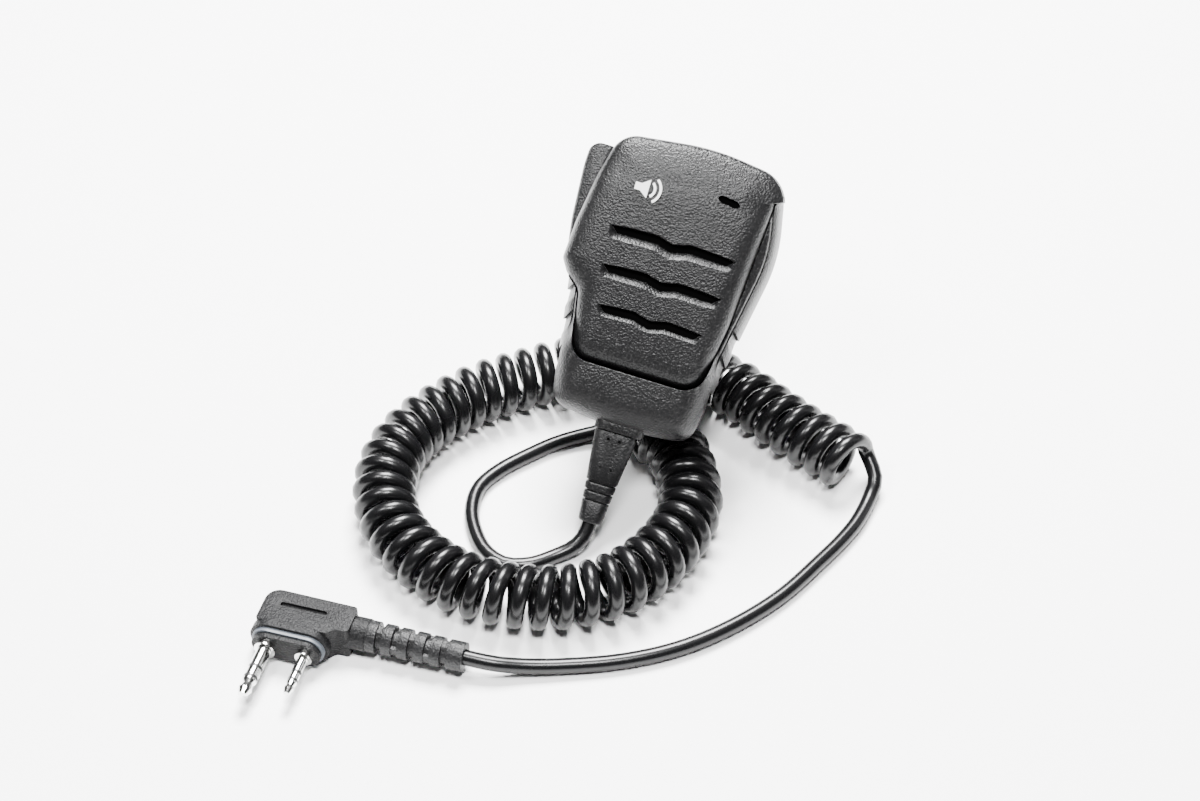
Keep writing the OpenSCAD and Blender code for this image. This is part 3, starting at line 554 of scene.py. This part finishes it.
# ---------------------------------------------------------------- rear shell
SKIN = (  # side depth, side inset, chin depth, chin inset, lowest height or 0 for none
    (16, 8.0, 16, 8.0, 42), (15.95, 6.2, 15.95, 6.2, 40), (15.5, 4.6, 15.5, 4.6, 38.5),
    (14.5, 3.2, 14.5, 3.2, 36.5), (12.6, 2.0, 12.6, 2.0, 33.8), (12.3, 1.0, 12.3, 1.6, 33.2),
    (11.5, 0.5, 11.5, 1.2, 32.2), (7, 0.05, 7, 0.4, 26.5), (3.5, 0, 3.5, 0.1, 24.3),
    (1.4, 0.25, 1.5, 0, 0), (-0.6, 0.7, 0.2, 0.0, 0), (-2.2, 1.2, -1, 0.1, 0),
    (-3.3, 1.75, -2.5, 0.3, 0), (-4.0, 2.4, -4, 0.7, 0), (-3.7, 2.5, -5.5, 1.5, 0),
    (-3.7, 2.7, -6.8, 2.6, 0), (-4.7, 2.8, -7.7, 4.0, 0), (-5.1, 3.1, -8.2, 5.5, 0),
    (-5.2, 3.7, -8.5, 7.3, 0))
CASE_INSIDE = ((3.9, 2.1, 26.4), (7, 2.5, 29.4), (11, 3.5, 35.4), (13.5, 5.3, 40.3))
OPEN_Y, NEVER = 1.2, -99  # where the key and the front shell's top leave the case open
RIM_SIDE_Y, RIM_CHIN_Y, LEDGE_Y = -5.6, -8.5, -2.9
GRIPS, GRIP_DEPTH, GRIP_ABOVE, GRIP_HEIGHT = (51.0, 43.7, 36.4), 1.15, 1.9, 3.8

case_edge = case_table[0]
case_x, case_z = case_edge * DIRS[:, 0], CENTRE[1] + case_edge * DIRS[:, 1]
chin = smooth((45 - case_z) / 9)
top = smooth((case_z - 87.4) / 2.5)
left_wing = smooth((-case_x - 14) / 4) * smooth((case_z - 55) / 3)
at_side = smooth((abs(case_x) - 15) / 2)
open_y = np.where((left_wing > 0.5) | (top > 0.5), OPEN_Y, NEVER)


def not_below(distance, low):
    """Keeps the loop above a height."""
    down = DIRS[:, 1] < -1e-3
    limit = np.where(down, (low - CENTRE[1]) / np.where(down, DIRS[:, 1], -1), 1e9)
    return np.minimum(distance, limit)


def grip(z):
    """Depth of the three finger notches: a sharp upper edge, a slope below."""
    d = np.zeros_like(z)
    for g in GRIPS:
        t = (g + GRIP_ABOVE - z) / GRIP_HEIGHT
        notch = np.minimum(1, t / 0.08) * (1 - t * 0.55) * np.minimum(1, (1 - t) / 0.12)
        d = np.maximum(d, np.where((t > 0) & (t < 1), notch, 0))
    return GRIP_DEPTH * d


loops = []
edge = np.minimum(panel_edge + 0.15, case_edge - 0.25)
for side_y, side_inset, chin_y, chin_inset, low in SKIN:
    y = side_y + (chin_y - side_y) * chin
    inset = (side_inset + (chin_inset - side_inset) * chin) * (1 - 0.85 * top)
    notch = grip(case_z) * at_side * smooth((y + 4.0) / 0.5) * smooth((11.6 - y) / 1.0)
    d = inset_reach(case_table, inset) - notch
    d = not_below(d, low) if low else d
    hidden = y < open_y
    if side_y < LEDGE_Y:
        d = np.maximum(d, edge)
    d = np.where(hidden, np.where(left_wing > 0.5, case_edge - 0.9, edge), d)
    loops.append(from_rays(d, np.where(hidden, open_y, y)))
rim_front = np.where(open_y > NEVER, open_y, RIM_SIDE_Y + (RIM_CHIN_Y - RIM_SIDE_Y) * chin)
rim_back = np.maximum(rim_front + 0.4, LEDGE_Y)
loops.append(from_rays(edge + 0.1 * chin, rim_front))
loops.append(from_rays(edge, rim_front + 0.1 * chin))
loops.append(from_rays(edge, rim_back))
loops.append(from_rays(np.minimum(panel_edge - 0.7, inset_reach(case_table, 2.2)), rim_back))
for y, inset, low in CASE_INSIDE:
    loops.append(from_rays(not_below(inset_reach(case_table, inset), low), y))
loops.append(from_rays(inset_reach(case_table, CASE_INSIDE[-1][1]) * 0.5, CASE_INSIDE[-1][0]))
v, f = rings(loops[::-1])
rear = build("rear_shell_skin", in_handset(v), f, "handset", "case_plastic", ["rear_shell"])
cut_away(rear, box("pocket", (-40, 0.4, 59.0), (-17, 15.0, 91.0)), solver="FAST")

# ---------------------------------------------------------------- key, collar and boot
KEY = [[-24.5, 59.6, 1.2], [-21, 59.6, 0.6], [-21, 90, 0.6], [-26.8, 90, 3], [-27.1, 84, 30],
       [-26.2, 70.5, 40]]
KEY_SLICES = ((1.6, 1.0), (1.75, 0.55), (2.2, 0.2), (3, 0), (13.2, 0), (14.0, 0.2),
              (14.45, 0.55), (14.6, 1.0))  # depth, inset
loft("talk_key_skin", ALONG_Y, [(y, KEY, inset) for y, inset in KEY_SLICES],
     "talk_key", "case_plastic", ["ptt_key"])
box("talk_key_hub", (-21.5, 4.3, 61.1), (-18.5, 11.7, 64.9), "talk_key")
box("talk_key_rib", (-21.5, 6, 78), (-20.3, 10, 82), "talk_key")

COLLAR = [[-5.7, -5, 2], [6.5, -5, 2], [6.5, 5, 2], [-5.7, 5, 2]]
COLLAR_SLICES = ((23.2, 0.5), (23.35, 0.15), (23.7, 0), (26.4, 0), (27.2, 0.4), (28, 1.4))
loft("cable_collar", ALONG_Z, [(z, COLLAR, inset) for z, inset in COLLAR_SLICES],
     "handset", "case_plastic")

BOOT_SLICES = (  # height, inset; three grooves between the rings
    (0.02, 0.8), (0.1, 0.35), (0.45, 0.05), (1, 0),
    (5.1, 0), (5.3, 0.12), (5.36, 0.5), (5.74, 0.5), (5.8, 0.12), (5.95, 0),
    (7.4, 0), (7.58, 0.12), (7.64, 0.5), (8.02, 0.5), (8.1, 0.12), (8.25, 0),
    (9.6, 0), (9.78, 0.12), (9.84, 0.5), (10.28, 0.5), (10.4, 0.12), (10.6, 0),
    (16, 0), (22.4, 0), (23.1, 0.3))
BOOT_CORNER, BOOT_KNEE, BOOT_UPPER = 2.1, 10.4, 13.8
DOTS = ((-1.4, 21.2), (1.4, 21.2), (-1.4, 13.9), (1.4, 13.9))
DOT_R, DOT_POINTS = 0.42, 16


def boot_corners(z):
    """The boot's section widens from the cord to its knee and on to the collar."""
    if z > BOOT_KNEE:
        t = (z - BOOT_KNEE) / BOOT_UPPER
        hx, hy = 3.9 + 1.6 * t, 3.5 + 0.8 * t
    else:
        t = z / BOOT_KNEE
        hx, hy = 2.9 + t, 2.8 + 0.7 * t
    return [[x, y, BOOT_CORNER] for x, y in ((-hx, -hy), (hx, -hy), (hx, hy), (-hx, hy))]


boot = loft("cable_boot_skin", ALONG_Z, [(z, boot_corners(z), inset) for z, inset in BOOT_SLICES],
            "handset", "cord_rubber", ["cable_boot"])
boot.data.materials[0] = TEXTURED_RUBBER
dots = []
for i, (x, z) in enumerate(DOTS):
    ring = [(x + DOT_R * math.cos(w), z + DOT_R * math.sin(w))
            for w in np.arange(DOT_POINTS) * 2 * math.pi / DOT_POINTS]
    dots.append(prism("dot_%d" % i, ring[::-1], -8, ring[::-1], -3.0))
cut_away(boot, *dots)

# ---------------------------------------------------------------- plug and clip
SOFT_EDGE = 30  # edges sharper than this many degrees are rounded


def softened(node, name, width):
    """A copy of a CAD node with its hard edges rounded by width mm."""
    o = frame["nodes"][node].copy()
    o.data = frame["nodes"][node].data.copy()
    o.name = name
    o.parent = None
    o.matrix_world = Matrix.Identity(4)
    for key in list(o.keys()):
        del o[key]
    bpy.context.collection.objects.link(o)
    weld = o.modifiers.new("weld", "WELD")
    weld.merge_threshold = 1e-5
    bevel = o.modifiers.new("edge", "BEVEL")
    bevel.width, bevel.segments = width * MM, 3
    bevel.limit_method, bevel.angle_limit = "ANGLE", math.radians(SOFT_EDGE)
    mesh = bake(o, SHARP_SOFTENED)
    mesh.materials.clear()
    mesh.materials.append(LOOKS[SLOT_OF[node]])
    body = next(b for b, ns in frame["record"]["behaviour"]["bodies"].items() if node in ns)
    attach(o, body)
    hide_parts(node)
    return o


plug = [softened("plug_body", "plug_body_skin", 0.45),
        softened("plug_relief", "plug_relief_skin", 0.18)]
plug[1].data.materials[0] = TEXTURED_RUBBER
softened("clip_jaw", "clip_jaw_skin", 0.35)
softened("clip_base", "clip_base_skin", 0.3)

# ---------------------------------------------------------------- floor and light
FLOOR_HALF = 3
floor_mesh = bpy.data.meshes.new("floor")
floor_mesh.from_pydata([(-FLOOR_HALF, -FLOOR_HALF, 0), (FLOOR_HALF, -FLOOR_HALF, 0),
                        (FLOOR_HALF, FLOOR_HALF, 0), (-FLOOR_HALF, FLOOR_HALF, 0)],
                       [], [(0, 1, 2, 3)])
floor = bpy.data.objects.new("floor", floor_mesh)
floor.location = (0, 0, TABLE * MM)
bpy.context.collection.objects.link(floor)
floor_mesh.materials.append(material("floor", (0.97, 0.97, 0.97), 0.7, spread=0.01,
                                     specular=0.1))


def area(name, at, aim, width, height, power):
    """A rectangular lamp, in metres and watts."""
    light = bpy.data.lights.new(name, "AREA")
    light.shape = "RECTANGLE"
    light.size, light.size_y = width, height
    light.energy = power
    o = bpy.data.objects.new(name, light)
    o.location = at
    o.rotation_euler = (Vector(aim) - Vector(at)).to_track_quat("-Z", "Y").to_euler()
    bpy.context.collection.objects.link(o)


area("overhead", (0.0, 0.42, 0.78), (0, 0, 0), 0.38, 0.38, 66)
area("front_top", (0.02, -0.30, 0.72), (0, 0, 0), 0.16, 0.16, 11)
area("left_front", (-0.26, -0.12, 0.48), (-0.01, 0.02, 0.02), 0.12, 0.12, 2.6)
area("right_strip", (0.65, 0.15, 0.35), (0, 0, 0), 0.16, 0.52, 0.5)
WORLD_STRENGTH = 0.07
world = bpy.data.worlds.new("world")
bpy.context.scene.world = world
world.use_nodes = True
background = world.node_tree.nodes["Background"].inputs
background["Color"].default_value = (1, 1, 1, 1)
background["Strength"].default_value = WORLD_STRENGTH
